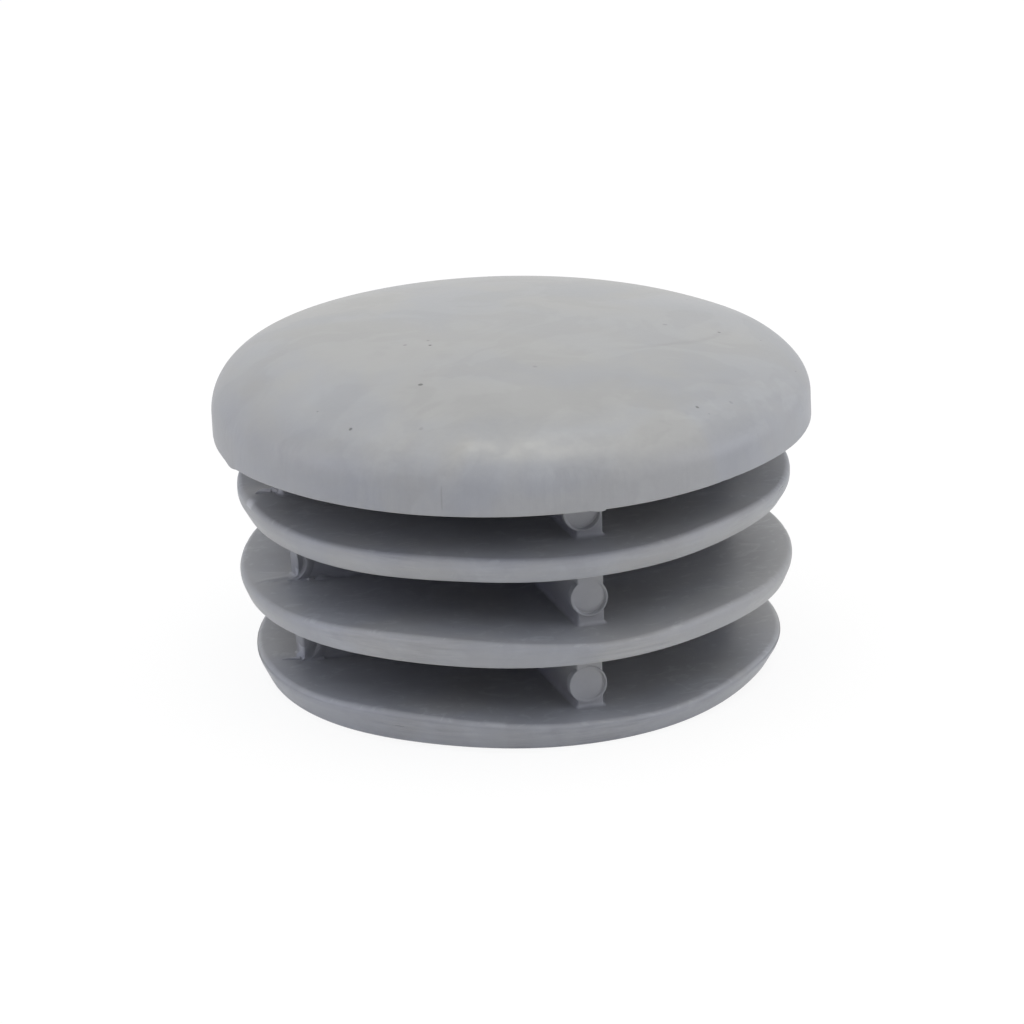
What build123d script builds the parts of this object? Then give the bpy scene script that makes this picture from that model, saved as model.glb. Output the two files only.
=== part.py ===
from build123d import *
import os

# Ribbed end cap for a round tube, moulded in one piece from flexible plastic.
#
# The head closes the tube's end. Under it, three thin discs are stacked on a cross of four webs.
# They are a little larger than the tube's bore, so they bend and grip when the cap is knocked in.
# The mould opens along Y, on a parting plane through the two side webs. Its ejector pins push on
# the web that faces -Y, which has a round pad for each of them, and on the sides of the side webs.
#
# Frame: millimetres, +Z up along the tube's axis, origin at the centre of the lowest disc's
# underside, which the cap stands on.

# The tube
tube_diameter = 50.0
tube_wall = 2.0

# The head
head_overhang = 0.0          # beyond the tube's outside, on each side
head_side_height = 5.05      # from the seat to the corner that the shoulder rounds off
head_crown = 3.25            # rise of the dome above that corner
shoulder_radius = 5.0
head_edge_break = 0.2        # lower edge of the side
seat_gap = 4.45              # clear height between the top disc and the head

# The discs
disc_count = 3
disc_pitch = 7.3
disc_thickness = 2.1
disc_squeeze = 0.25          # beyond the bore, on each side
lead_disc_step = 0.9         # the lowest disc enters first, and is this much smaller, on each side
rim_rise = 0.3               # the disc is dished up towards its rim
rim_width = 9.0              # width of the ring that is dished
rim_edge_break = 0.35        # upper edge of the rim
entry_taper_height = 1.4     # lower edge of the rim, tapered so that it enters the bore
entry_taper_depth = 0.6

# The webs
web_thickness = 2.2
web_setback = 3.9            # from the rim of a full-size disc to the end of a web
web_root = 0.8               # how deep the webs run into the lowest disc and the head

# The ejector-pin marks
pin_diameter = 3.0
pin_height = 2.15            # centre of a pin above the disc that it sits over
pad_stand = 0.15             # the pad stands out of the web's end by this much
pad_length = 1.0
pin_mark_depth = 0.3         # hollow that a pin leaves in a side web

# Derived sizes
bore_diameter = tube_diameter - 2 * tube_wall
disc_radius = bore_diameter / 2 + disc_squeeze
lead_disc_radius = disc_radius - lead_disc_step
head_radius = tube_diameter / 2 + head_overhang
seat_height = (disc_count - 1) * disc_pitch + disc_thickness + seat_gap
corner_height = seat_height + head_side_height
top_height = corner_height + head_crown
dome_radius = (head_radius**2 + head_crown**2) / (2 * head_crown)
web_reach = disc_radius - web_setback


def turned(section):
    """The solid that a section of (radius, height) makes when it turns about Z."""
    return revolve(Plane.XZ * section, Axis.Z)


def corner_at(section, point):
    """The section's corner nearest to a point."""
    return section.vertices().sort_by_distance(point)[0]


def head():
    """The domed head: a flat seat, an upright side, a rounded shoulder and a shallow dome."""
    lower_edge = (head_radius, seat_height)
    corner = (head_radius, corner_height)
    peak = (0, top_height)
    outline = Polyline(peak, (0, seat_height), lower_edge, corner)
    outline += RadiusArc(corner, peak, -dome_radius)
    section = make_face(outline)
    section = fillet(corner_at(section, corner), shoulder_radius)
    section = chamfer(corner_at(section, lower_edge), head_edge_break)
    return turned(section)


def disc(radius):
    """One sealing disc: flat in the middle, dished up at the rim, tapered at its lower edge."""
    rim_top = (radius, disc_thickness + rim_rise)
    outline = Polyline(
        (radius - rim_width, disc_thickness),
        (0, disc_thickness),
        (0, 0),
        (radius - entry_taper_depth, 0),
        (radius, entry_taper_height),
        rim_top,
        close=True,
    )
    section = make_face(outline)
    return turned(chamfer(corner_at(section, rim_top), rim_edge_break))


def disc_stack():
    """The discs at their pitch. The lowest is the smaller one that enters the tube first."""
    stack = disc(lead_disc_radius)
    for level in range(1, disc_count):
        stack += Pos(Z=level * disc_pitch) * disc(disc_radius)
    return stack


def webs():
    """Four webs in a cross, from inside the lowest disc to inside the head."""
    low = disc_thickness - web_root
    high = seat_height + web_root
    on_low = (Align.CENTER, Align.CENTER, Align.MIN)
    side_pair = Box(2 * web_reach, web_thickness, high - low, align=on_low)
    front_pair = Box(web_thickness, 2 * web_reach, high - low, align=on_low)
    return Pos(Z=low) * (side_pair + front_pair)


def pin_heights():
    """Height of the ejector pins' centres, one in each gap."""
    return [level * disc_pitch + disc_thickness + pin_height for level in range(disc_count)]


def pin_end(x, y, z, length):
    """The cylinder that a pin's tip fills, from (x, y, z) along +Y."""
    tip = Plane(origin=(x, y, z), z_dir=(0, 1, 0))
    return extrude(tip * Circle(pin_diameter / 2), length)


def pads():
    """Round pads on the end of the web that faces -Y."""
    face = -(web_reach + pad_stand)
    return [pin_end(0, face, z, pad_length) for z in pin_heights()]


def pin_marks():
    """Shallow hollows that the pins leave in the side webs, half of each beyond the web's end."""
    face = -web_thickness / 2
    ends = (-web_reach, web_reach)
    return [pin_end(x, face, z, pin_mark_depth) for z in pin_heights() for x in ends]


end_cap = head() + disc_stack() + webs() + pads() - pin_marks()

os.makedirs("parts", exist_ok=True)
export_step(end_cap, "parts/end_cap.step")

extent = end_cap.bounding_box().size
print(f"end_cap: {extent.X:.2f} x {extent.Y:.2f} x {extent.Z:.2f} mm, {end_cap.volume:.0f} mm3")
print(f"seat {seat_height:.2f} mm up, discs {2 * disc_radius:.2f} mm across, bore {bore_diameter:.2f} mm")
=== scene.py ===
# %% [markdown]
# # Ribbed end cap for a round tube
# The cap closes the open end of a tube. It is moulded in one piece from flexible grey plastic: a
# domed head, and under it three thin discs stacked on a cross of four webs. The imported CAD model
# gives its place and size. This lesson replaces that model's one node with a finer mesh, which has
# what the mould and the cooling plastic leave: discs that warp between the webs, soft edges, pads
# and hollows of the ejector pins, and thin flash along the parting plane.

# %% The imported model
import math

import bmesh
import bpy
import numpy as np
from mathutils import Matrix, Vector


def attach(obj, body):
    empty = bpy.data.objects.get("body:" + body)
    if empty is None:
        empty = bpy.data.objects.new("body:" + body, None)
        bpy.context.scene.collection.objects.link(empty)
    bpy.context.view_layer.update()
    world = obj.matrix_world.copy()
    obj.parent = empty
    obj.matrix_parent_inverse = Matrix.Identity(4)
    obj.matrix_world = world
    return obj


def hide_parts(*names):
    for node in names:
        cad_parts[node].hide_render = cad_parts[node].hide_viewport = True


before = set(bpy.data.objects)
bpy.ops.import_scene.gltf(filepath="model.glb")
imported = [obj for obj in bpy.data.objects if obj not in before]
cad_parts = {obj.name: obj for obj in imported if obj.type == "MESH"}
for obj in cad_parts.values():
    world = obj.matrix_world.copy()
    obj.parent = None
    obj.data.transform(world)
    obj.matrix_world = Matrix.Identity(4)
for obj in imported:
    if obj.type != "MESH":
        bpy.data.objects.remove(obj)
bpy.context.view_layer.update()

# %% [markdown]
# ## Sizes
# All sizes are millimetres, as on a drawing of the part, and the mesh is scaled to metres once, when
# it is made. The origin is the centre of the lowest disc's underside, +Z runs up the tube's axis,
# and -Y is the side where the mould's ejector pins have pushed. Turns about the axis are measured in
# degrees from +X towards +Y, so the web with the pads is at -90.

# %% Sizes
MM = 0.001

HEAD_RADIUS = 25.0
SEAT_HEIGHT = 21.12  # flat underside of the head
HEAD_SIDE = 1.8  # upright part of the side
HEAD_HEIGHT = 8.25  # from the seat to the top of the dome
SHOULDER_PULL = 3.1  # how far up the side the shoulder's curve keeps upright
DOME_PULL = 21.25  # how far out from the axis the dome keeps level

WEB_HALF_THICKNESS = 1.1
WEB_REACH = 19.35
PIN_RADIUS = 1.5

# Each disc: underside, upper face, rim radius, depth and height of the entry taper
DISCS = (
    (0.0, 2.08, 22.35, 0.8, 1.5),
    (7.5, 9.32, 23.4, 0.45, 1.1),
    (14.56, 16.76, 23.25, 0.7, 1.2),
)
DISC_COUNT = len(DISCS)

gaps = [above[0] - below[1] for below, above in zip(DISCS, DISCS[1:] + ((SEAT_HEIGHT,),))]
print("clear gaps, mm:", np.round(gaps, 2).tolist())

# %% [markdown]
# ## Skins
# Every form of the cap is a closed skin: rings of points, one above the other, with a point in the
# middle of the first and of the last ring to close the ends. Numpy works out all the points at once,
# and `foreach_set` puts them into the mesh in one call, which is far quicker than one by one. A skin
# could also be drawn by hand and lathed with a modifier, but a formula keeps each size in one place.
# Blender can recalculate which way faces point, but it guesses, and can turn a flat disc inside out.
# The sign of the volume that a skin encloses is no guess.

# %% Skins
def placed(name, data):
    """A new object in the scene that shows a mesh, a lamp or a camera."""
    piece = bpy.data.objects.new(name, data)
    bpy.context.scene.collection.objects.link(piece)
    return piece


def skin(name, rings):
    """A closed mesh from an array of rings (ring, point, xyz) in millimetres.

    Ring i and ring i+1 are joined by quads, and the first and last rings by triangles to their mean.
    All faces then turn one way, and they point outwards when the volume that they enclose is positive.
    """
    ring_count, point_count, _ = rings.shape
    poles = np.stack([rings[0].mean(axis=0), rings[-1].mean(axis=0)])
    points = np.concatenate([rings.reshape(-1, 3), poles]) * MM
    here = np.arange(point_count)
    after = np.roll(here, -1)
    row = np.arange(ring_count - 1)[:, None] * point_count
    next_row = row + point_count
    quads = np.stack([row + here, row + after, next_row + after, next_row + here], axis=-1)
    first_pole = ring_count * point_count
    last = (ring_count - 1) * point_count
    first_fan = np.stack([np.full(point_count, first_pole), after, here], axis=-1)
    last_fan = np.stack([np.full(point_count, first_pole + 1), last + here, last + after], axis=-1)
    corners = np.concatenate([quads.ravel(), first_fan.ravel(), last_fan.ravel()])
    sizes = np.concatenate([np.full(quads.shape[0] * quads.shape[1], 4), np.full(2 * point_count, 3)])

    mesh = bpy.data.meshes.new(name)
    mesh.vertices.add(len(points))
    mesh.vertices.foreach_set("co", points.ravel())
    mesh.loops.add(len(corners))
    mesh.loops.foreach_set("vertex_index", corners.astype(np.int32))
    mesh.polygons.add(len(sizes))
    mesh.polygons.foreach_set("loop_start", (np.cumsum(sizes) - sizes).astype(np.int32))
    mesh.update(calc_edges=True)
    work = bmesh.new()
    work.from_mesh(mesh)
    if work.calc_volume(signed=True) < 0.0:
        bmesh.ops.reverse_faces(work, faces=work.faces)
    work.to_mesh(mesh)
    work.free()
    return placed(name, mesh)


def smooth_step(value, low, high):
    """0 below low, 1 above high, and a smooth S between them: 3t^2 - 2t^3."""
    t = np.clip((value - low) / (high - low), 0.0, 1.0)
    return t * t * (3.0 - 2.0 * t)


def bell(turns, centre, width):
    """A bell of height 1 about a turn in degrees: exp(-(angle / width)^2), which wraps at 360."""
    apart = (turns - centre + 180.0) % 360.0 - 180.0
    return np.exp(-((apart / width) ** 2))


def bells(turns, lifts):
    """The sum of bells, each given as (centre, width, height)."""
    return sum(height * bell(turns, centre, width) for centre, width, height in lifts)


print("a bell at one width:", round(float(bell(10.0, 0.0, 10.0)), 3))

# %% [markdown]
# ## Sections
# The head and the discs are turned forms, so each starts as a section of (radius, height) points.
# Moulded plastic has no truly sharp edge, so the section's corners are rounded by arcs.

# %% Rounded sections
def rounded_chain(corners, radii, arc_steps=7):
    """Points along a chain of straight lines with each corner replaced by an arc.

    An arc of radius r touches both lines at r * tan(turn / 2) from the corner, and its points are
    spaced evenly in angle about its centre.
    """
    corners = np.asarray(corners, float)
    points = [corners[:1]]
    for before, corner, behind, radius in zip(corners, corners[1:], corners[2:], radii):
        inward = (corner - before) / np.linalg.norm(corner - before)
        outward = (behind - corner) / np.linalg.norm(behind - corner)
        turn = math.atan2(inward[0] * outward[1] - inward[1] * outward[0], inward @ outward)
        side = np.array([-inward[1], inward[0]]) * np.sign(turn)
        start = corner - inward * radius * math.tan(abs(turn) / 2)
        angles = np.linspace(0.0, abs(turn), arc_steps)[:, None]
        points.append(start + radius * (inward * np.sin(angles) + side * (1 - np.cos(angles))))
    points.append(corners[-1:])
    return np.concatenate(points)


def spaced(points, step):
    """The same chain with extra points, so that none are further apart than a step."""
    counts = np.maximum(1, np.ceil(np.linalg.norm(np.diff(points, axis=0), axis=1) / step)).astype(int)
    parts = [np.linspace(a, b, n, endpoint=False) for a, b, n in zip(points, points[1:], counts)]
    return np.concatenate(parts + [points[-1:]])


TURN_STEPS = 360
turns = np.arange(TURN_STEPS) * 360.0 / TURN_STEPS


def turned_rings(section):
    """Rings of (x, y, z) that a section of (radius, height) makes about the axis: r cos, r sin, z."""
    around = np.radians(turns)
    radius, height = section[:, :1], section[:, 1:]
    heights = np.broadcast_to(height, (len(section), TURN_STEPS))
    return np.stack([radius * np.cos(around), radius * np.sin(around), heights], axis=-1)


print("points in a turn:", TURN_STEPS)

# %% [markdown]
# ### Nicks
# Flexible plastic is scuffed wherever an edge is handled, so no edge of the cap is quite even. A sum
# of waves round the turns, with random phases from a fixed seed, is the same at each run, closes on
# itself where the turns do, and deepens into separate dents where it happens to be highest.

# %% Nicks
COARSEST_WAVE = 5  # waves in a whole turn
FINEST_WAVE = 150
SCUFF_DEPTH = 0.012
NICK_DEPTH = 0.09
NICK_START = 1.7  # only what tops this many spreads is a nick


def ripple(seed, finest):
    """A random line round the turns, with a mean of 0 and a spread of 1.

    The sum of cos(number * turn + random phase) / sqrt(number) from the coarsest wave to the finest.
    """
    numbers = np.arange(COARSEST_WAVE, finest)
    phases = np.random.default_rng(seed).uniform(0.0, 2.0 * math.pi, len(numbers))
    total = (np.cos(np.radians(turns)[:, None] * numbers + phases) / np.sqrt(numbers)).sum(axis=1)
    return total / total.std()


def nicks(seed):
    """Depth of dents in an edge: scuff * ripple everywhere, and nick * what tops the start."""
    line = ripple(seed, FINEST_WAVE)
    return SCUFF_DEPTH * line + NICK_DEPTH * np.maximum(0.0, line - NICK_START)


print("deepest nick, mm:", round(float(nicks(1).max()), 3))

# %% [markdown]
# ## The head
# The head has a flat seat underneath, a short upright side with a slightly broken lower edge, and
# one smooth curve that is first the shoulder and then the shallow dome. A single cubic Bezier gives
# that: it leaves the side upright and reaches the axis level, and its two pulls set how tight the
# shoulder is. The head shrinks unevenly while it cools, so its top leans by a fraction of a
# millimetre and its surface is a little wavy.

# %% The head
HEAD_EDGE = 0.14  # rounding of the lower edge
FIRST_RING = 0.4  # radius of the ring next to the axis
HEAD_LEAN = 0.0135  # slope of the dome
HEAD_LEAN_TURN = 162.5  # direction in which the dome stands highest
EDGE_WARP_START = 18.0  # radius at which the lower edge begins to warp
EDGE_WARP_HEIGHT = 4.0  # how far up the side that warp fades out
LEAN_SHARE = 0.75  # share of the head's height at which the lean is whole
SWELL_RADII = (6.0, 20.0)  # the dome's swell grows between these
SEAT_STEP = 2.4  # spacing of the seat's rings
BURR_BAND = 0.3  # the burr stays this close to the rim of the seat
NICK_SHARE = 0.5  # the head's nicks, as a share of a disc's

# Bells of (turn, width, height): lifts of the lower edge and of the dome, and reach of the burr
HEAD_EDGE_LIFTS = ((-59.0, 17.0, 0.17), (-176.0, 15.0, -0.24), (-174.4, 2.4, -0.24))
DOME_LIFTS = ((150.0, 32.0, 0.2), (6.0, 12.0, 0.15))
BURR_HEIGHT = 0.1  # the burr that the seat's edge keeps from the mould
BURR_REACHES = ((-40.0, 60.0, 0.05), (-150.0, 30.0, 0.02))


def shoulder_and_dome(steps=54):
    """Cubic Bezier from the top of the upright side to the axis, as (radius, height) points."""
    side_top = SEAT_HEIGHT + HEAD_SIDE
    top = SEAT_HEIGHT + HEAD_HEIGHT
    pulls = np.array([
        (HEAD_RADIUS, side_top),
        (HEAD_RADIUS, side_top + SHOULDER_PULL),
        (DOME_PULL, top),
        (FIRST_RING, top),
    ])
    t = np.linspace(0.0, 1.0, steps)[:, None]
    weights = [(1 - t) ** 3, 3 * t * (1 - t) ** 2, 3 * t * t * (1 - t), t**3]
    return sum(weight * pull for weight, pull in zip(weights, pulls))


def head_rings():
    """The head's section turned about the axis, with its lower edge warped and its dome leaning.

    The edge's bells fade towards the axis and up the side. The lean, slope * distance in its direction,
    and the dome's bells grow from nil at the seat to their whole at the dome. The burr is a bell of
    height about the seat's edge, and the nicks are cut from the same edge.
    """
    curve = shoulder_and_dome()
    underside = rounded_chain(
        [(FIRST_RING, SEAT_HEIGHT), (HEAD_RADIUS, SEAT_HEIGHT), tuple(curve[0])], [HEAD_EDGE]
    )
    rings = turned_rings(np.concatenate([spaced(underside, SEAT_STEP)[:-1], curve]))
    x, y, z = rings[..., 0], rings[..., 1], rings[..., 2]
    radius = np.hypot(x, y)
    share = smooth_step(z, SEAT_HEIGHT + HEAD_SIDE, SEAT_HEIGHT + LEAN_SHARE * HEAD_HEIGHT)
    toward = math.radians(HEAD_LEAN_TURN)
    lean = HEAD_LEAN * (x * math.cos(toward) + y * math.sin(toward))
    edge = smooth_step(radius, EDGE_WARP_START, HEAD_RADIUS)
    edge = edge * (1 - smooth_step(z, SEAT_HEIGHT, SEAT_HEIGHT + EDGE_WARP_HEIGHT))
    swell = share * smooth_step(radius, *SWELL_RADII) * bells(turns, DOME_LIFTS)
    at_edge = np.exp(-(((z - SEAT_HEIGHT - BURR_HEIGHT) / BURR_HEIGHT) ** 2))
    at_edge = at_edge * (radius > HEAD_RADIUS - BURR_BAND)
    reach = 1.0 + at_edge * (bells(turns, BURR_REACHES) - NICK_SHARE * nicks(1)) / HEAD_RADIUS
    lift = share * lean + swell + edge * bells(turns, HEAD_EDGE_LIFTS)
    lift = lift + NICK_SHARE * at_edge * nicks(2)
    return np.stack([x * reach, y * reach, z + lift], axis=-1)


head = skin("head", head_rings())
print("head faces:", len(head.data.polygons))

# %% [markdown]
# ## The discs
# A disc is thin and the webs hold it only along a cross, so it bends between them as it cools: the
# rim stands highest about half-way between two webs, though never the same on all sides. The warp is
# added to the turned skin as a lift that grows with the radius, and that round the turns is a sum of
# bells, one for each place where the rim stands high or low. The upper face has its own bells and the
# lower face has smaller ones, because the rim is also a little thicker where it stands high.

# %% The discs
RIM_TOP_ROUND = 0.5
RIM_LOW_ROUND = 0.25
TAPER_ROUND = 1.0
WARP_START = 9.0  # radius at which a disc begins to bend
DISC_STEP = 1.5  # spacing of a disc's rings
NICK_BAND = 0.8  # nicks stay this close to the rim
NICK_HEIGHT = 0.35  # and fade out this far below its upper edge

# Lifts of each disc's rim, as bells of (turn, width, height): upper face, then lower face
UPPER_LIFTS = (
    (
        (-133.0, 27.0, 0.9), (-45.0, 18.0, 0.4), (-77.0, 11.0, -0.12),
        (-178.0, 14.0, 0.25), (48.0, 24.0, 0.6), (140.0, 24.0, 0.5),
    ),
    (
        (-128.0, 26.0, 0.95), (-60.0, 17.0, 0.44), (-88.0, 10.0, -0.16),
        (40.0, 22.0, 0.4), (130.0, 24.0, 0.6),
    ),
    (
        (-122.0, 19.0, 0.29), (-60.0, 17.0, 0.42), (-175.0, 14.0, 0.1),
        (45.0, 22.0, 0.3), (135.0, 22.0, 0.35),
    ),
)
LOWER_LIFTS = (
    ((-127.0, 22.0, 0.22), (-40.0, 22.0, 0.5), (48.0, 24.0, 0.4), (140.0, 24.0, 0.3)),
    ((-130.0, 25.0, 0.25), (-60.0, 20.0, 0.25), (-14.0, 12.0, 0.25), (40.0, 22.0, 0.2), (130.0, 24.0, 0.3)),
    ((-120.0, 18.0, 0.25), (-55.0, 22.0, 0.4), (-88.0, 14.0, 0.1), (45.0, 22.0, 0.3), (135.0, 22.0, 0.3)),
)

# Rises of the upper faces round the webs' feet: (x, y, width, height)
MOUNDS = (
    ((0.0, -19.3, 3.0, 0.2),),
    ((0.0, -19.3, 3.0, 0.08), (-19.3, -0.8, 2.8, 0.24)),
    ((0.0, -19.3, 3.0, 0.11), (-20.6, -0.3, 2.4, 0.44)),
)


def disc_face(level, upper, x, y):
    """Height of a disc's upper or lower face at (x, y).

    The flat face's height + S(radius) * the face's bells at the turn, with S a smooth step from the
    warp's start to the rim. The upper face adds height * exp(-(distance / width)^2) of each mound.
    """
    underside, top, rim, _, _ = DISCS[level]
    lifts = UPPER_LIFTS[level] if upper else LOWER_LIFTS[level]
    spread = smooth_step(np.hypot(x, y), WARP_START, rim)
    face = (top if upper else underside) + spread * bells(np.degrees(np.arctan2(y, x)), lifts)
    if upper:
        for middle_x, middle_y, width, height in MOUNDS[level]:
            face = face + height * np.exp(-((x - middle_x) ** 2 + (y - middle_y) ** 2) / width**2)
    return face


def roof(level, x, y):
    """Height of what is above a gap: the next disc's lower face, or the seat of the head."""
    if level + 1 < DISC_COUNT:
        return disc_face(level + 1, False, x, y)
    return np.full_like(x, SEAT_HEIGHT)


def disc_rings(level):
    """A turned disc whose points lie between its two warped faces, at the share that they had flat.

    The nicks are cut from the rim's upper edge: their depth * a bell of the height about that edge.
    """
    underside, top, rim, taper_depth, taper_height = DISCS[level]
    corners = [
        (FIRST_RING, underside),
        (rim - taper_depth, underside),
        (rim, underside + taper_height),
        (rim, top),
        (FIRST_RING, top),
    ]
    section = rounded_chain(corners, [RIM_LOW_ROUND, TAPER_ROUND, RIM_TOP_ROUND])
    rings = turned_rings(spaced(section, DISC_STEP))
    x, y = rings[..., 0], rings[..., 1]
    share = (rings[..., 2] - underside) / (top - underside)
    low, high = disc_face(level, False, x, y), disc_face(level, True, x, y)
    at_edge = np.exp(-(((rings[..., 2] - top) / NICK_HEIGHT) ** 2)) * (np.hypot(x, y) > rim - NICK_BAND)
    drawn_in = 1.0 - at_edge * nicks(10 + level) / rim
    return np.stack([x * drawn_in, y * drawn_in, low + share * (high - low)], axis=-1)


discs = [skin(f"disc_{level}", disc_rings(level)) for level in range(DISC_COUNT)]
print("disc faces:", [len(disc.data.polygons) for disc in discs])

# %% [markdown]
# ## The webs
# In each gap two bars cross: one from side web to side web, one from the front web to the back one.
# A bar's rings follow its plan, a long rectangle with rounded corners, and climb from inside one
# disc to inside the next. Near both ends they swell outwards by a quarter circle, which is the small
# fillet that a mould leaves where a web meets a disc. Building bars gap by gap lets each follow the
# warped discs and lean as the real ones do.

# %% The webs
WEB_CORNER = 0.15  # rounding of the upright edges
SIDE_WEB_CORNER = 0.42  # the same on the face of a side web that the pins push on
WEB_FILLET = 0.32  # fillet to the discs
WEB_SINK = 0.6  # how far a bar runs into the discs
PLAN_STEP = 1.0  # spacing of the points along its sides
FILLET_ANGLES = (10.0, 90.0, 8)  # the fillet's first and last angle, and how many it has
BAR_ROWS = (0.2, 0.8, 5)  # first and last row between the fillets, as shares of a gap, and how many
SIDE_LEANS = (0.035, 0.025, 0.02)  # outward lean of the -X web's end, per millimetre of height
SIDE_REACHES = (19.32, 19.4, 20.45)  # reach of the -X web
FRONT_SHIFTS = (-0.22, 0.03, 0.07)  # shift of the front and back webs towards +X


def bar_plan(reach_low, reach_high, pushed_corner, steps=7):
    """Plan of a bar along X, with rounded corners, as points and their outward directions.

    Each corner is a quarter circle about its centre, and the straight sides get points in between,
    whose directions are those of the corners' ends. The two corners on the -Y side have their own
    radius.
    """
    half = WEB_HALF_THICKNESS
    radii = np.array([WEB_CORNER, WEB_CORNER, pushed_corner, pushed_corner])
    signs = np.array([(1, 1), (-1, 1), (-1, -1), (1, -1)])
    reaches = np.array([(reach_high, half), (reach_low, half), (reach_low, half), (reach_high, half)])
    centres = signs * (reaches - radii[:, None])
    angles = np.radians(np.arange(4)[:, None] * 90.0 + np.linspace(0.0, 90.0, steps))
    outward = np.stack([np.cos(angles), np.sin(angles)], axis=-1)
    rounds = centres[:, None, :] + radii[:, None, None] * outward
    corners = np.concatenate([rounds, outward], axis=-1).reshape(-1, 4)
    plan = spaced(np.concatenate([corners, corners[:1]]), PLAN_STEP)[:-1]
    return plan[:, :2], plan[:, 2:] / np.linalg.norm(plan[:, 2:], axis=1, keepdims=True)


def bar_rings(level, along_y, shift=0.0, reach_low=WEB_REACH, lean_low=0.0):
    """A web bar in one gap.

    Plan point + outward * swell(height) + lean * height at the bar's low end. The swell is
    r - r sin(angle) at r - r cos(angle) from a disc, for angles up to a quarter turn. The height
    runs from the lower disc's warped face to the next one's, and past both by the sink.
    """
    plan, outward = bar_plan(reach_low, WEB_REACH, WEB_CORNER if along_y else SIDE_WEB_CORNER)
    angle = np.radians(np.linspace(*FILLET_ANGLES))
    climb, swell = WEB_FILLET * (1 - np.cos(angle)), WEB_FILLET * (1 - np.sin(angle))
    gap = gaps[level]
    middle = np.linspace(*BAR_ROWS) * gap
    up = np.concatenate([[-WEB_SINK], climb, middle, gap - climb[::-1], [gap + WEB_SINK]])[:, None]
    out = np.concatenate([swell[:1], swell, 0 * middle, swell[::-1], swell[:1]])[:, None]
    share = np.clip(up / gap, 0.0, 1.0)
    lean = np.where(plan[:, 0] < -WEB_REACH / 2, -lean_low, 0.0)
    along = plan[:, 0] + outward[:, 0] * out + lean * share * gap
    across = plan[:, 1] + outward[:, 1] * out
    x, y = (shift - across, along) if along_y else (along, across)
    low, high = disc_face(level, True, x, y), roof(level, x, y)
    past = np.where(up < 0, up, np.where(up > gap, up - gap, 0.0))
    return np.stack([x, y, low + (high - low) * share + past], axis=-1)


bars = []
for level in range(DISC_COUNT):
    side = bar_rings(level, False, reach_low=SIDE_REACHES[level], lean_low=SIDE_LEANS[level])
    bars.append(skin(f"side_webs_{level}", side))
    bars.append(skin(f"front_webs_{level}", bar_rings(level, True, shift=FRONT_SHIFTS[level])))
print("web bars:", len(bars), "faces each:", len(bars[0].data.polygons))

# %% [markdown]
# ## Ejector-pin pads and hollows
# Nine pins push the cap out of the mould, three in each gap. The one at the front web ends on a round
# pad, a little wider than the web and nearly flush with its end, and each pad keeps a thin raised lip
# on one side, where plastic crept into the gap round its pin. The two at the side webs leave shallow
# round hollows at the webs' ends. Pads and hollows are skins like the rest, with rings about the pin's
# axis. A cylinder would do for a plain pad, but not for a lip that is high on one side only.

# %% Pads and hollows
PAD_STAND = 0.05  # pad's face beyond the web's end, at its centre
PAD_TILT = 0.035  # the face stands out more towards its lower edge, per millimetre
PAD_DEPTH = 0.7
HOLLOW_DEPTH = 0.18
PIN_STEPS = 90
pin_turns = np.radians(np.arange(PIN_STEPS) * 360.0 / PIN_STEPS)

# Section of a pad: radius, depth behind its face, share of the lip's height (below 0, the dent by it)
PAD_SECTION = np.array([
    (1.5, PAD_DEPTH, 0.0), (1.5, 0.25, 0.0), (1.5, 0.05, 0.6), (1.48, 0.01, 0.9),
    (1.44, 0.0, 1.0), (1.38, 0.0, 0.85), (1.31, 0.0, 0.15), (1.27, 0.0, -0.4),
    (1.22, 0.0, -0.45), (1.16, 0.0, -0.15), (1.08, 0.0, 0.0), (0.7, 0.0, 0.0), (0.3, 0.0, 0.0),
])
# Section of a hollow's plug: radius, depth behind the web's face, share of the hollow's depth
HOLLOW_SECTION = np.array([
    (PIN_RADIUS + 0.08, -0.6, 0.0), (PIN_RADIUS + 0.02, -0.02, 0.0), (PIN_RADIUS - 0.01, 0.02, 0.2),
    (PIN_RADIUS - 0.05, 0.03, 0.7), (PIN_RADIUS - 0.2, 0.04, 1.0), (0.9, 0.04, 0.35), (0.6, 0.04, 0.1),
])


def pin_rings(x, z, section, lip, lip_turn, tilt):
    """Rings about a pin's axis, along +Y, from a section of (radius, depth, share of the lip).

    Each point is drawn towards -Y by share * lip * ((1 + cos(angle - turn)) / 2)^2, so that the lip is
    high on one side only, and by tilt * its height below the centre.
    """
    radius, depth, share = (column[:, None] for column in section.T)
    rise = share * lip * ((1.0 + np.cos(pin_turns - math.radians(lip_turn))) / 2.0) ** 2
    across, up = radius * np.cos(pin_turns), radius * np.sin(pin_turns)
    return np.stack([x + across, depth - rise + tilt * up, z + up], axis=-1)


def pad(level, size, x, height, lip, lip_turn):
    """One pad on the front web's end, with its lip. Its radii are the section's times a size."""
    section = PAD_SECTION * (size, 1.0, 1.0) - (0.0, WEB_REACH + PAD_STAND, 0.0)
    z = float(disc_face(level, True, np.array(0.0), np.array(-WEB_REACH))) + height
    return skin(f"pad_{level}", pin_rings(x, z, section, lip, lip_turn, PAD_TILT))


def pin_hollow(level, side, beyond, z):
    """The plug that is cut from a side web's face, deepest on the side towards the cap's axis."""
    section = HOLLOW_SECTION - (0.0, WEB_HALF_THICKNESS, 0.0)
    x = side * (WEB_REACH + beyond)
    inward = 0.0 if side < 0 else 180.0
    return skin(f"hollow_{level}", pin_rings(x, z, section, -HOLLOW_DEPTH, inward, 0.0))


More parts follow.
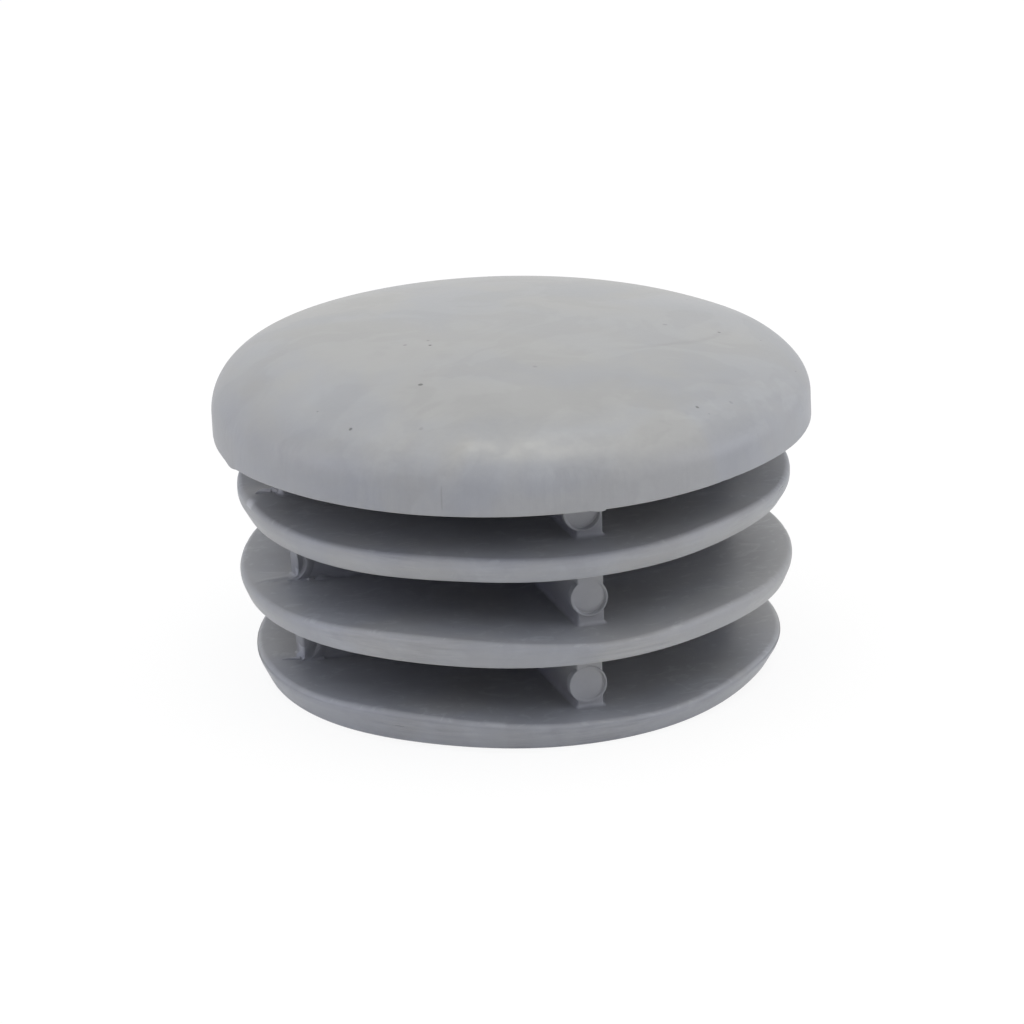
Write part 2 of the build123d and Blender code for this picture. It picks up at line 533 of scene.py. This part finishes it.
# Pads: size, x, height above the disc, lip's height and the direction in which it is highest
PADS = (
    (1.05, -0.4, 1.98, 0.16, 0.0),
    (1.03, -0.13, 2.36, 0.24, -55.0),
    (1.05, -0.55, 2.17, 0.26, -45.0),
)
pads = [pad(level, *form) for level, form in enumerate(PADS)]

# Hollows: distance of the centre beyond the full reach of a web, and its height
HOLLOWS = ((-0.03, 3.84), (0.8, 11.07), (0.4, 18.85))
hollows = [
    pin_hollow(level, side, beyond, height)
    for level, (beyond, height) in enumerate(HOLLOWS) for side in (-1, 1)
]
print("pads:", len(pads), "hollows:", len(hollows))

# %% [markdown]
# ## Flash
# Where the mould's halves meet, in the plane of the side webs, a little plastic squeezes out. It
# leaves a low ridge from each side web's end to the rim of the disc, and thin torn films and beads
# at the webs' feet. They are thin closed skins too, laid along a path, so they join the cap like
# everything else. A bump texture couldn't give their torn edges or their shadows.

# %% Flash
FILM_SINK = 0.25  # how far a film's base lies inside the cap
FILM_TOP = 0.16  # half width of its top, as a share of its width
FILM_SHOULDER = 0.15  # height at which it starts to narrow, as a share of its height
UP = (0.0, 0.0, 1.0)


def film(name, path, out, width, heights):
    """A thin ridge along a path: rings of six points, wide and sunk at the base, narrow at the top.

    The side direction is the cross product of the path's direction and the out direction, and a
    ring's points are path + side * width share + out * height share.
    """
    path, out = np.asarray(path, float), np.asarray(out, float)
    heights = np.asarray(heights, float)[:, None]
    along = np.gradient(path, axis=0)
    side = np.cross(along, out)
    side /= np.linalg.norm(side, axis=1, keepdims=True)
    spread = np.array([-0.5, 0.5, 0.5, FILM_TOP, -FILM_TOP, -0.5]) * width
    base = np.array([-FILM_SINK, -FILM_SINK, 0.0, 0.0, 0.0, 0.0])
    climb = np.array([0.0, 0.0, FILM_SHOULDER, 1.0, 1.0, FILM_SHOULDER])
    lift = base + climb * heights
    return skin(name, path[:, None] + side[:, None] * spread[:, None] + out * lift[:, :, None])


def on_disc(level, points):
    """Points (x, y) put on a disc's upper face."""
    x, y = np.asarray(points, float).T
    return np.stack([x, y, disc_face(level, True, x, y)], axis=-1)


# Films on the discs: disc, points, width, height at each point
DISC_FILMS = (
    (2, ((-20.2, -0.5), (-20.45, -0.15), (-20.7, 0.1)), 0.16, (0.22, 0.4, 0.26)),
    (2, ((-20.55, -0.3), (-20.9, 0.05), (-21.2, 0.35)), 0.16, (0.2, 0.38, 0.24)),
    (2, ((-21.0, 0.0), (-21.4, 0.3), (-21.8, 0.5), (-22.2, 0.6)), 0.2, (0.24, 0.34, 0.3, 0.06)),
    (2, ((-17.65, -3.82), (-17.3, -3.92), (-16.95, -4.0)), 0.42, (0.02, 0.13, 0.02)),
    (1, ((-19.3, 0.0), (-20.4, 0.05), (-21.6, 0.16), (-22.7, 0.33)), 1.1, (0.04, 0.06, 0.07, 0.01)),
    (1, ((-19.3, -1.05), (-19.5, -0.85), (-19.8, -0.72), (-20.2, -0.62)), 0.2, (0.46, 0.36, 0.16, 0.03)),
    (1, ((-18.8, -1.1), (-18.5, -1.3), (-18.2, -1.3), (-17.9, -1.2)), 0.26, (0.06, 0.22, 0.24, 0.04)),
    (1, ((-18.0, -1.1), (-17.5, -1.22), (-16.9, -1.18), (-16.2, -1.1)), 0.75, (0.05, 0.34, 0.22, 0.04)),
    (0, ((-19.25, -0.85), (-19.45, -0.5), (-19.65, -0.2)), 0.16, (0.7, 0.66, 0.3)),
    (0, ((-19.5, -0.7), (-19.85, -0.5), (-20.4, -0.36), (-20.95, -0.2)), 0.18, (0.26, 0.16, 0.1, 0.02)),
    (0, ((-18.2, -1.1), (-17.9, -1.24), (-17.6, -1.26), (-17.2, -1.1)), 0.34, (0.05, 0.2, 0.22, 0.04)),
    (2, ((19.2, 0.0), (20.6, 0.04), (22.4, 0.0)), 0.8, (0.06, 0.05, 0.01)),
    (1, ((19.2, 0.0), (20.6, -0.04), (22.6, 0.0)), 0.8, (0.06, 0.05, 0.01)),
    (0, ((19.2, 0.0), (20.4, 0.03), (21.6, 0.0)), 0.8, (0.06, 0.05, 0.01)),
)
films = [
    film(f"film_{number}", on_disc(level, points), UP, width, heights)
    for number, (level, points, width, heights) in enumerate(DISC_FILMS)
]
print("films on the discs:", len(films))

# %% [markdown]
# ### Lips and the burr
# A pin also raises a low lip on the side web's face, just outside its hollow. It is a film along an
# arc. Another film is the burr that hangs from the head's edge over the top pad, where the head's
# mould didn't quite close.

# %% Lips and the burr
LIP_HEIGHTS = (0.07, 0.12, 0.05)
LIP_REACH = 62.0  # half of the arc, in degrees
LIP_FADE = 80.0  # angle whose cosine is left of the lip's height at the arc's ends
LIP_OUTSET = 0.22  # from the hollow's edge to the middle of the lip
LIP_WIDTH = 0.85
LIP_STEPS = 25


def hollow_lip(level, beyond, z):
    """The lip round a hollow of the -X web: an arc about the pin's axis, whose height is a cosine."""
    angle = np.radians(np.linspace(-LIP_REACH, LIP_REACH, LIP_STEPS))
    radius = PIN_RADIUS + LIP_OUTSET
    x = radius * np.cos(angle) - (WEB_REACH + beyond)
    path = np.stack([x, np.full_like(x, -WEB_HALF_THICKNESS), z + radius * np.sin(angle)], axis=-1)
    heights = LIP_HEIGHTS[level] * np.cos(angle * LIP_FADE / LIP_REACH)
    return film(f"hollow_lip_{level}", path, (0.0, -1.0, 0.0), LIP_WIDTH, heights)


films += [hollow_lip(level, beyond, z) for level, (beyond, z) in enumerate(HOLLOWS)]

BURR_ENDS = (-94.9, -91.2)  # turns
BURR_RISE = (0.22, 0.26)  # of its root above the seat
BURR_INSET = 0.998  # radius of its root, as a share of the head's
BURR_OUT = (0.0, -0.25, -0.97)
BURR_WIDTH = 0.1
BURR_DROPS = (0.06, 0.16, 0.24, 0.3, 0.34, 0.3)

burr_turns = np.radians(np.linspace(*BURR_ENDS, len(BURR_DROPS)))
burr = HEAD_RADIUS * np.stack([np.cos(burr_turns), np.sin(burr_turns)], axis=-1)
burr = np.column_stack([burr * BURR_INSET, SEAT_HEIGHT + np.linspace(*BURR_RISE, len(BURR_DROPS))])
films.append(film("head_burr", burr, BURR_OUT, BURR_WIDTH, BURR_DROPS))
print("films in all:", len(films))

# %% [markdown]
# ## One moulded piece
# The real cap is one piece, so the skins are joined into one closed mesh. A boolean union does this
# without gaps or hidden inner walls. Laying the skins into each other would look the same, but its
# inner walls would spoil the mesh for anyone who prints or cuts it.

# %% Joining the skins
SAME_POINT = 2e-6  # points closer than this many metres are merged
NO_LENGTH = 1e-6
SHARP_ANGLE = 32.0


def join(base, other, operation):
    """The base object's mesh after a boolean with another object, which is removed."""
    step = base.modifiers.new(operation, "BOOLEAN")
    step.operation = operation
    step.solver = "MANIFOLD"
    step.object = other
    bpy.context.view_layer.update()
    result = bpy.data.meshes.new_from_object(base.evaluated_get(bpy.context.evaluated_depsgraph_get()))
    base.modifiers.clear()
    base.data = result
    bpy.data.objects.remove(other)


for other in discs + bars + pads + films:
    join(head, other, "UNION")
for other in hollows:
    join(head, other, "DIFFERENCE")

cap = head
cap.name = cap.data.name = "moulded_cap"
work = bmesh.new()
work.from_mesh(cap.data)
bmesh.ops.remove_doubles(work, verts=work.verts, dist=SAME_POINT)
bmesh.ops.dissolve_degenerate(work, edges=work.edges, dist=NO_LENGTH)
open_edges = sum(not edge.is_manifold for edge in work.edges)
volume = work.calc_volume(signed=True) / MM**3
print("faces:", len(work.faces), "open edges:", open_edges, "volume, mm3:", round(volume))
work.to_mesh(cap.data)
work.free()
cap.data.shade_smooth()
cap.data.set_sharp_from_angle(angle=math.radians(SHARP_ANGLE))
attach(cap, "root")
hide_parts("end_cap")

# %% [markdown]
# ## The plastic
# The cap is one flexible plastic, mid-grey with a cold tint and a satin skin. The flow of the molten
# plastic shows as faint clouds and wavy fronts on the dome. The rims keep fine streaks from the
# mould's ring, the head's side has short upright scratches, the shoulder is polished in patches, and
# a few specks are trapped in the dome. The polished patches are smoother, and on the front they are
# also lighter, which is a painted sheen; the pale spots on the flash and a rim nick are painted
# highlights. Images could show this too, but noise in three dimensions
# needs no unwrapping and has no seams. It reads Object coordinates, taken as millimetres, so its scale
# is that of the real thing. Short helpers come first: many nodes are easier to follow as arithmetic.

# %% Nodes
NOISE_ROUGHNESS = 0.55  # height of each finer wave, as a share of the one before
SPOT_EDGE = (0.5, 1.3)  # a spot fades out between these shares of its radius


def wired(tree, kind, inputs, output=0, **settings):
    """An output of a new node, whose inputs are numbers, colours or other nodes' outputs."""
    made = tree.nodes.new(kind)
    for name, value in settings.items():
        setattr(made, name, value)
    for name, value in inputs.items():
        if isinstance(value, bpy.types.NodeSocket):
            tree.links.new(value, made.inputs[name])
        else:
            made.inputs[name].default_value = value
    return made.outputs[output]


def figured(tree, operation, first, second=0.0, third=0.0):
    """A Math node's result for two or three numbers or outputs."""
    return wired(tree, "ShaderNodeMath", {0: first, 1: second, 2: third}, operation=operation)


def eased(tree, value, low, high, start=0.0, end=1.0):
    """A smooth step: start below low, end above high."""
    inputs = {"Value": value, "From Min": low, "From Max": high, "To Min": start, "To Max": end}
    return wired(tree, "ShaderNodeMapRange", inputs, interpolation_type="SMOOTHSTEP")


def noise(tree, place, per_mm, detail, distortion=0.0):
    """Noise from -0.5 to 0.5. The scale is how many waves fit in a millimetre, along each axis."""
    stretched = wired(tree, "ShaderNodeVectorMath", {0: place, 1: per_mm}, operation="MULTIPLY")
    inputs = {"Vector": stretched, "Scale": 1.0, "Detail": detail, "Roughness": NOISE_ROUGHNESS}
    inputs["Distortion"] = distortion
    return figured(tree, "SUBTRACT", wired(tree, "ShaderNodeTexNoise", inputs, "Fac"), 0.5)


def product(tree, first, second):
    """The product of two patterns, or of a pattern and a number."""
    return figured(tree, "MULTIPLY", first, second)


def between(tree, value, low, high, rise, fall):
    """1 between low and high and 0 outside them, with a soft rise and fall of these widths."""
    falling = eased(tree, value, high - fall, high, 1.0, 0.0)
    return product(tree, eased(tree, value, low, low + rise), falling)


def distance(tree, plan, x, y):
    """Distance from (x, y) in the plan."""
    return wired(tree, "ShaderNodeVectorMath", {0: plan, 1: (x, y, 0.0)}, "Value", operation="DISTANCE")


def spot(tree, plan, x, y, radius):
    """1 within a radius of (x, y) in the plan, and 0 outside it, with a soft edge."""
    inner, outer = (share * radius for share in SPOT_EDGE)
    return eased(tree, distance(tree, plan, x, y), inner, outer, 1.0, 0.0)


# %% [markdown]
# ### Marks in the skin
# Some marks have a place of their own, so they are listed with it: specks of dirt that were trapped
# in the dome, pale spots that paint the highlights caught by the torn films, the webs' feet and one
# rim nick, one long line where two fronts of plastic met, and one upright scratch. Each is a distance
# in the plan, eased into a soft spot or line. Painting them on an image would need a flat layout of
# the whole cap for a few small marks.

# %% Marks in the skin
# Specks in the dome: x, y, radius, strength
SPECKS = (
    (-7.86, -3.49, 0.13, 1.0), (-11.0, -11.12, 0.2, 0.9), (-17.67, -13.95, 0.14, 0.9),
    (16.53, -5.64, 0.15, 0.7), (9.17, -19.76, 0.14, 0.8), (-9.69, -2.46, 0.18, 0.4),
    (-7.68, -2.34, 0.14, 0.4), (12.35, -4.04, 0.22, 0.3), (-1.51, -11.46, 0.2, 0.25),
    (-12.88, -17.26, 0.18, 0.25), (12.43, -18.71, 0.16, 0.25),
)
# Painted highlights, pale spots where the films, the webs' feet and a rim nick catch light: x, y, radius,
# lowest and highest point
PAINTED_HIGHLIGHT_PLACES = (
    (-21.0, 0.1, 1.5, 17.26, 18.2),
    (-23.2, -0.9, 0.7, 16.5, 17.3),
    (-19.75, -0.8, 0.55, 9.86, 10.6),
    (-19.6, -0.5, 0.8, 2.42, 3.6),
)
PAINTED_HIGHLIGHT_FADES = (0.08, 0.1)  # heights over which such a place fades in and out
SPECKS_ABOVE = SEAT_HEIGHT + 1.0  # the listed specks are on the head only
# More specks, at the points of cells 1 / scale across: scale, radii over which they fade, strength
SPARSE_SPECKS = (0.24, 0.014, 0.028, 0.4)
FLOW_ARC = (6.6, 6.7, 16.2, 0.55)  # centre's x and y, radius, half width
FLOW_WANDER = 1.6  # twice the most that the line strays from its arc
FLOW_ENDS = (5.0, 19.0, 5.0, 3.0)  # its lowest and highest x, and how far it fades in and out
SCRATCH = (-120.5, 0.07)  # turn, half width
SCRATCH_ENDS = (21.4, 24.6, 0.6, 0.8)  # lowest and highest point, and how far it fades in and out


def specks(tree, place, plan, height):
    """0 on clean skin and up to 1 in a speck: the largest of the listed spots and of sparse points."""
    worst = 0.0
    for x, y, radius, strength in SPECKS:
        worst = figured(tree, "MAXIMUM", worst, product(tree, spot(tree, plan, x, y, radius), strength))
    worst = product(tree, worst, figured(tree, "GREATER_THAN", height, SPECKS_ABOVE))
    scale, inner, outer, faint = SPARSE_SPECKS
    nearest = wired(tree, "ShaderNodeTexVoronoi", {"Vector": place, "Scale": scale}, "Distance")
    return figured(tree, "MAXIMUM", worst, eased(tree, nearest, inner, outer, faint, 0.0))


def painted_highlights(tree, plan, height):
    """Painted highlight: 1 on the torn films, the webs' feet and a rim nick, and 0 elsewhere: spots between
    two heights.
    """
    total = 0.0
    for x, y, radius, low, high in PAINTED_HIGHLIGHT_PLACES:
        layer = between(tree, height, low, high, *PAINTED_HIGHLIGHT_FADES)
        total = figured(tree, "MULTIPLY_ADD", spot(tree, plan, x, y, radius), layer, total)
    return total


def scratch_mark(tree, plan, height):
    """1 along the fine upright scratch on the head's side, and 0 elsewhere."""
    turn, half_width = SCRATCH
    x, y = HEAD_RADIUS * math.cos(math.radians(turn)), HEAD_RADIUS * math.sin(math.radians(turn))
    return product(tree, spot(tree, plan, x, y, half_width), between(tree, height, *SCRATCH_ENDS))


def flow_line(tree, plan, strays):
    """1 along an arc on the dome: where |distance to its centre + noise - radius| is nearly 0."""
    x, y, radius, half_width = FLOW_ARC
    wander = figured(tree, "MULTIPLY_ADD", strays, FLOW_WANDER, distance(tree, plan, x, y))
    off = figured(tree, "ABSOLUTE", figured(tree, "SUBTRACT", wander, radius))
    side = wired(tree, "ShaderNodeSeparateXYZ", {0: plan}, "X")
    return product(tree, eased(tree, off, 0.0, half_width, 1.0, 0.0), between(tree, side, *FLOW_ENDS))


print("specks:", len(SPECKS), "pale places:", len(PAINTED_HIGHLIGHT_PLACES))

# %% [markdown]
# ### Patterns
# The rest is spread over whole surfaces, so it comes from noise. Clouds and fronts are wide and
# twisted, as is the flow that left them. Rings and scratches are noise stretched along one direction:
# level on the rims, upright on the head's side. The normal tells those upright faces from the discs'
# level ones, which have wisps of scuffing instead.

# %% Patterns
# Noises: waves per millimetre along x, y and z, how many finer waves are added, how twisted they are
NOISES = {
    "clouds": ((0.22, 0.22, 0.22), 5.0, 0.6),
    "fronts": ((0.1, 0.13, 0.1), 3.0, 1.4),
    "grain": ((2.6, 2.6, 2.6), 2.0, 0.0),
    "waves": ((0.45, 0.45, 0.45), 2.0, 0.0),
    "drift": ((0.07, 0.07, 0.07), 3.0, 0.8),
    "rings": ((0.25, 0.25, 2.6), 4.0, 0.0),
    "scratches": ((2.4, 2.4, 0.3), 4.0, 0.0),
    "patches": ((0.16, 0.16, 0.16), 2.0, 0.0),
    "polish_and_sheen": ((0.26, 0.26, 0.5), 3.0, 0.0),
    "wisps": ((0.42, 0.7, 0.5), 5.0, 1.8),
    "strays": ((0.3, 0.3, 0.0), 2.0, 0.0),
}
# Noises held between limits: lower and upper limit, and the values below and above them
LIMITS = {
    "fronts": (-0.03, 0.05, -0.5, 0.5),
    "drift": (-0.12, 0.12, 0.0, 1.0),
    "patches": (-0.08, 0.12, 0.25, 1.0),
    "polish_and_sheen": (-0.02, 0.1, 0.0, 1.0),
    "wisps": (0.05, 0.17, 0.0, 1.0),
}
RING_STRENGTH = 4.0
RIM_RADII = (20.5, 21.5)  # the rings fade in between these
UPRIGHT = (0.35, 0.75)  # the normal's share along Z: less is upright, more is level
# The polish is smoother skin, and its lighter tone here paints the sheen of the shoulder's highlight on the
# front (-Y) side.
POLISH_AND_SHEEN_HEIGHTS = (23.6, 27.2, 1.0, 1.0)  # lowest and highest point, and how far it fades in and out
POLISH_AND_SHEEN_SIDE = (-18.0, -10.0)  # it fades out between these y
SCRATCH_SHARE = 0.2  # the scratch is this faint beside a speck


def patterns(tree):
    """Every pattern of the plastic, by name. The place is in millimetres, and the plan has z = 0."""
    coordinates = tree.nodes.new("ShaderNodeTexCoord").outputs
    in_mm = {0: coordinates["Object"], "Scale": 1.0 / MM}
    place = wired(tree, "ShaderNodeVectorMath", in_mm, operation="SCALE")
    plan = wired(tree, "ShaderNodeVectorMath", {0: place, 1: (1.0, 1.0, 0.0)}, operation="MULTIPLY")
    radius = wired(tree, "ShaderNodeVectorMath", {0: plan}, "Value", operation="LENGTH")
    height = wired(tree, "ShaderNodeSeparateXYZ", {0: place}, "Z")
    side = wired(tree, "ShaderNodeSeparateXYZ", {0: place}, "Y")
    facing = wired(tree, "ShaderNodeSeparateXYZ", {0: coordinates["Normal"]}, "Z")
    upright = eased(tree, figured(tree, "ABSOLUTE", facing), *UPRIGHT, 1.0, 0.0)
    on_head = figured(tree, "GREATER_THAN", height, SEAT_HEIGHT - 0.05)

    found = {name: noise(tree, place, *form) for name, form in NOISES.items()}
    for name, limits in LIMITS.items():
        found[name] = eased(tree, found[name], *limits)
    found["arc"] = flow_line(tree, plan, found["strays"])
    # The pale spots are painted highlights where the films, the webs' feet and a rim nick catch light.
    found["pale_highlight"] = painted_highlights(tree, plan, height)

    rings = product(tree, found["rings"], RING_STRENGTH)
    rings = product(tree, rings, eased(tree, radius, *RIM_RADII))
    by_place = {0: on_head, 2: rings, 3: found["scratches"]}
    streaks = wired(tree, "ShaderNodeMix", by_place, 0, data_type="FLOAT")
    found["streaks"] = product(tree, product(tree, streaks, upright), found["patches"])

    # The polish is smoother skin; its lighter tone on the front paints the shoulder's sheen.
    polished_and_sheen = product(tree, found["polish_and_sheen"], between(tree, height, *POLISH_AND_SHEEN_HEIGHTS))
    found["polished_and_sheen"] = product(tree, polished_and_sheen, eased(tree, side, *POLISH_AND_SHEEN_SIDE, 1.0, 0.0))

    level_face = figured(tree, "SUBTRACT", 1.0, upright)
    on_disc_face = product(tree, level_face, figured(tree, "SUBTRACT", 1.0, on_head))
    found["scuffs"] = product(tree, found["wisps"], on_disc_face)

    scratch = product(tree, scratch_mark(tree, plan, height), SCRATCH_SHARE)
    found["marked"] = figured(tree, "MAXIMUM", specks(tree, place, plan, height), scratch)
    return found


print("noises:", len(NOISES), "of them limited:", len(LIMITS))

# %% [markdown]
# ### Plastic
# One Principled shader takes its colour, roughness and relief from the same patterns, each with its
# own share. A speck is at once darker, rougher and lower than the skin round it, so it is a mark in
# the surface and not a print on it. The grey drifts between a colder and a warmer one.

# %% Plastic
COLD_GREY = (0.281, 0.286, 0.299, 1.0)
WARM_GREY = (0.292, 0.2915, 0.29, 1.0)
SPECK_TONE = -0.6  # what a speck adds to the brightness, as a share of it
PLAIN_ROUGHNESS = 0.45

# What each pattern adds: to the brightness, to the roughness, and to the height in millimetres
# The pale spots' tone is painted highlight on the flash and a rim nick.
TONE_SHARES = {
    "clouds": 0.22, "fronts": 0.045, "grain": 0.06, "streaks": 0.16,
    # The polished patches' tone paints the shoulder's sheen.
    "polished_and_sheen": 0.05, "arc": -0.08, "pale_highlight": 0.5, "scuffs": 0.16,
}
ROUGHNESS_SHARES = {"clouds": 0.16, "grain": 0.12, "streaks": 0.2, "polished_and_sheen": -0.1, "marked": 0.2}
RELIEF_SHARES = {"waves": 0.016, "grain": 0.006, "streaks": 0.03, "marked": -0.05, "arc": -0.006}


def layered(tree, start, found, shares):
    """The start + the sum of share * pattern."""
    total = start
    for name, share in shares.items():
        total = figured(tree, "MULTIPLY_ADD", found[name], share, total)
    return total


def plastic():
    """Satin grey plastic, whose colour, roughness and relief all come from the same few patterns."""
    material = bpy.data.materials.new("grey_plastic")
    material.use_nodes = True
    tree = material.node_tree
    shader = tree.nodes["Principled BSDF"]
    found = patterns(tree)

    tone = layered(tree, 1.0, found, TONE_SHARES)
    tone = product(tree, tone, layered(tree, 1.0, found, {"marked": SPECK_TONE}))
    greys = {0: found["drift"], 6: COLD_GREY, 7: WARM_GREY}
    tint = wired(tree, "ShaderNodeMix", greys, 2, data_type="RGBA")
    colour = wired(tree, "ShaderNodeVectorMath", {0: tint, "Scale": tone}, operation="SCALE")
    tree.links.new(colour, shader.inputs["Base Color"])

    roughness = layered(tree, PLAIN_ROUGHNESS, found, ROUGHNESS_SHARES)
    tree.links.new(roughness, shader.inputs["Roughness"])

    relief = layered(tree, 0.0, found, RELIEF_SHARES)
    bumped = wired(tree, "ShaderNodeBump", {"Height": relief, "Strength": 1.0, "Distance": MM})
    tree.links.new(bumped, shader.inputs["Normal"])
    print("nodes in the plastic:", len(tree.nodes))
    return material


cap.data.materials.clear()
cap.data.materials.append(plastic())

# %% [markdown]
# ## Floor
# The cap stands on a wide white floor, which throws light up at the rims and takes the cap's soft
# shadow. A floor that is only lit comes out grey, and stronger lamps would wash the cap out. So what
# is seen of it, directly or in a reflection, is mostly an even white glow, while the light that it
# sends to the cap is that of a plain lit floor.

# %% Floor
FLOOR_HALF_SIZE = 3.0  # metres, as are the places of the lamps and the camera
FLOOR_WHITE = (0.95, 0.95, 0.95, 1.0)
FLOOR_ROUGHNESS = 0.9
FLOOR_GLOW_SHARE = 0.9


def seen_as(tree, real, shown, share):
    """A mix of two shaders: a share of the shown one wherever it is seen, and the real one for light.

    The factor is share * the largest flag of the camera, glossy and transmission rays.
    """
    flags = tree.nodes.new("ShaderNodeLightPath").outputs
    seen = flags["Is Camera Ray"]
    for kind in ("Is Glossy Ray", "Is Transmission Ray"):
        seen = figured(tree, "MAXIMUM", seen, flags[kind])
    return wired(tree, "ShaderNodeMixShader", {0: product(tree, seen, share), 1: real, 2: shown})


def floor():
    """A square floor at the height of the lowest disc's underside."""
    size = FLOOR_HALF_SIZE
    mesh = bpy.data.meshes.new("floor")
    corners = [(-size, -size, 0), (size, -size, 0), (size, size, 0), (-size, size, 0)]
    mesh.from_pydata(corners, [], [(0, 1, 2, 3)])
    material = bpy.data.materials.new("white_floor")
    material.use_nodes = True
    tree = material.node_tree
    shader = tree.nodes["Principled BSDF"]
    shader.inputs["Base Color"].default_value = FLOOR_WHITE
    shader.inputs["Roughness"].default_value = FLOOR_ROUGHNESS
    glow = wired(tree, "ShaderNodeEmission", {"Strength": 1.0})
    mixed = seen_as(tree, shader.outputs[0], glow, FLOOR_GLOW_SHARE)
    tree.links.new(mixed, tree.nodes["Material Output"].inputs["Surface"])
    mesh.materials.append(material)
    piece = placed("floor", mesh)


floor()
print("floor, m:", 2 * FLOOR_HALF_SIZE)

# %% [markdown]
# ## Light
# The light is that of a small white studio: a large warm lamp overhead and a weaker one beside it, two
# bluish ones low at the sides that reach into the gaps, and a faint one behind. Lamps as wide as
# these cast shadows without a hard edge. Their powers add up to a plain level, at which a grey
# renders about as it is written.

# %% Light
LAMP_SIZE = 0.4
LAMP_DISTANCE = 0.7
VIEW_TURN = -17.5  # the camera's turn from -Y towards +X, in degrees


def direction_at(turn, elevation):
    """Unit direction at a turn from -Y towards +X and an elevation, in degrees.

    (sin turn * cos elevation, -cos turn * cos elevation, sin elevation)
    """
    around, raised = math.radians(turn), math.radians(elevation)
    level = math.cos(raised)
    return Vector((math.sin(around) * level, -math.cos(around) * level, math.sin(raised)))


def soft_light(name, turn, elevation, power, colour):
    """A square lamp that faces the cap, at a turn from the camera's side and an elevation."""
    toward = direction_at(turn + VIEW_TURN, elevation)
    lamp = bpy.data.lights.new(name, "AREA")
    lamp.shape = "SQUARE"
    lamp.size = LAMP_SIZE
    lamp.energy = power
    lamp.color = colour
    holder = placed(name, lamp)
    holder.location = toward * LAMP_DISTANCE
    holder.rotation_euler = (-toward).to_track_quat("-Z", "Y").to_euler()


# Lamps: name, turn from the camera's side, elevation, watts, colour
LAMPS = (
    ("overhead", 0.0, 89.0, 1.74, (1.0, 0.93, 0.68)),
    ("right_high", 80.0, 60.0, 0.3, (1.0, 0.9, 0.6)),
    ("right_low", 80.0, 10.0, 1.25, (0.88, 0.9, 1.0)),
    ("left", -80.0, 18.0, 0.68, (0.78, 0.8, 1.0)),
    ("back", 180.0, 8.0, 0.15, (1.0, 0.95, 0.88)),
)
for lamp in LAMPS:
    soft_light(*lamp)
print("lamps:", len(LAMPS), "watts in all:", round(sum(lamp[3] for lamp in LAMPS), 2))

# %% [markdown]
# ## World
# The world stands for the room. It is bright overhead and dark and bluish towards the horizon, so
# the dome is lit softly while the gaps stay deep. An even sky would be simpler, but it would shine
# level into the gaps and flatten them. What is seen of it, directly or in a reflection, is white.

# %% World
LOW_SKY = (0.14, 0.145, 0.24, 1.0)
HIGH_SKY = (1.04, 1.09, 1.19, 1.0)
SKY_ELEVATIONS = (18.0, 42.0)  # the sky turns from low to high between these, in degrees
WHITE = (1.0, 1.0, 1.0, 1.0)

world = bpy.data.worlds.new("studio")
bpy.context.scene.world = world
world.use_nodes = True
tree = world.node_tree
room = tree.nodes["Background"]
direction = wired(tree, "ShaderNodeTexCoord", {}, "Generated")
raised = wired(tree, "ShaderNodeSeparateXYZ", {0: direction}, "Z")
raised = eased(tree, raised, *(math.sin(math.radians(angle)) for angle in SKY_ELEVATIONS))
sky = wired(tree, "ShaderNodeMix", {0: raised, 6: LOW_SKY, 7: HIGH_SKY}, 2, data_type="RGBA")
tree.links.new(sky, room.inputs["Color"])
white = wired(tree, "ShaderNodeBackground", {"Color": WHITE, "Strength": 1.0})
mixed = seen_as(tree, room.outputs[0], white, 1.0)
tree.links.new(mixed, tree.nodes["World Output"].inputs["Surface"])
print("nodes in the world:", len(tree.nodes))

# %% [markdown]
# ## Camera
# The camera looks down at the cap from a little to the left of the pads, and is rolled by nearly two
# degrees. Its matrix is built from three unit directions: towards the camera, to its right, and their
# cross product upwards. Euler angles would do too, but a roll is plainer as a turn of the right and
# up directions.

# %% Camera
VIEW_ELEVATION = 19.94
ROLL = math.radians(-1.92)
DISTANCE = 0.3  # metres from what it aims at
AIM = Vector((0.0, 0.0, 0.01249))
LEFT_SHIFT = 0.000225  # the camera stands this far to its left
FOCAL_LENGTH = 124.6  # millimetres, as is the sensor's width
SENSOR_WIDTH = 36.0
NEAREST = 0.01  # nothing nearer to the camera is drawn

toward = direction_at(VIEW_TURN, VIEW_ELEVATION)
right = direction_at(VIEW_TURN + 90.0, 0.0)
up = toward.cross(right)
rolled_right = math.cos(ROLL) * right + math.sin(ROLL) * up
rolled_up = -math.sin(ROLL) * right + math.cos(ROLL) * up
lens = bpy.data.cameras.new("camera")
lens.lens = FOCAL_LENGTH
lens.sensor_width = SENSOR_WIDTH
lens.clip_start = NEAREST
camera = placed("camera", lens)
place = AIM + toward * DISTANCE - rolled_right * LEFT_SHIFT
camera.matrix_world = Matrix((
    (rolled_right.x, rolled_up.x, toward.x, place.x),
    (rolled_right.y, rolled_up.y, toward.y, place.y),
    (rolled_right.z, rolled_up.z, toward.z, place.z),
    (0, 0, 0, 1),
))
bpy.context.scene.camera = camera
bpy.context.scene.view_settings.view_transform = "Standard"
print("camera at, m:", [round(value, 4) for value in place])
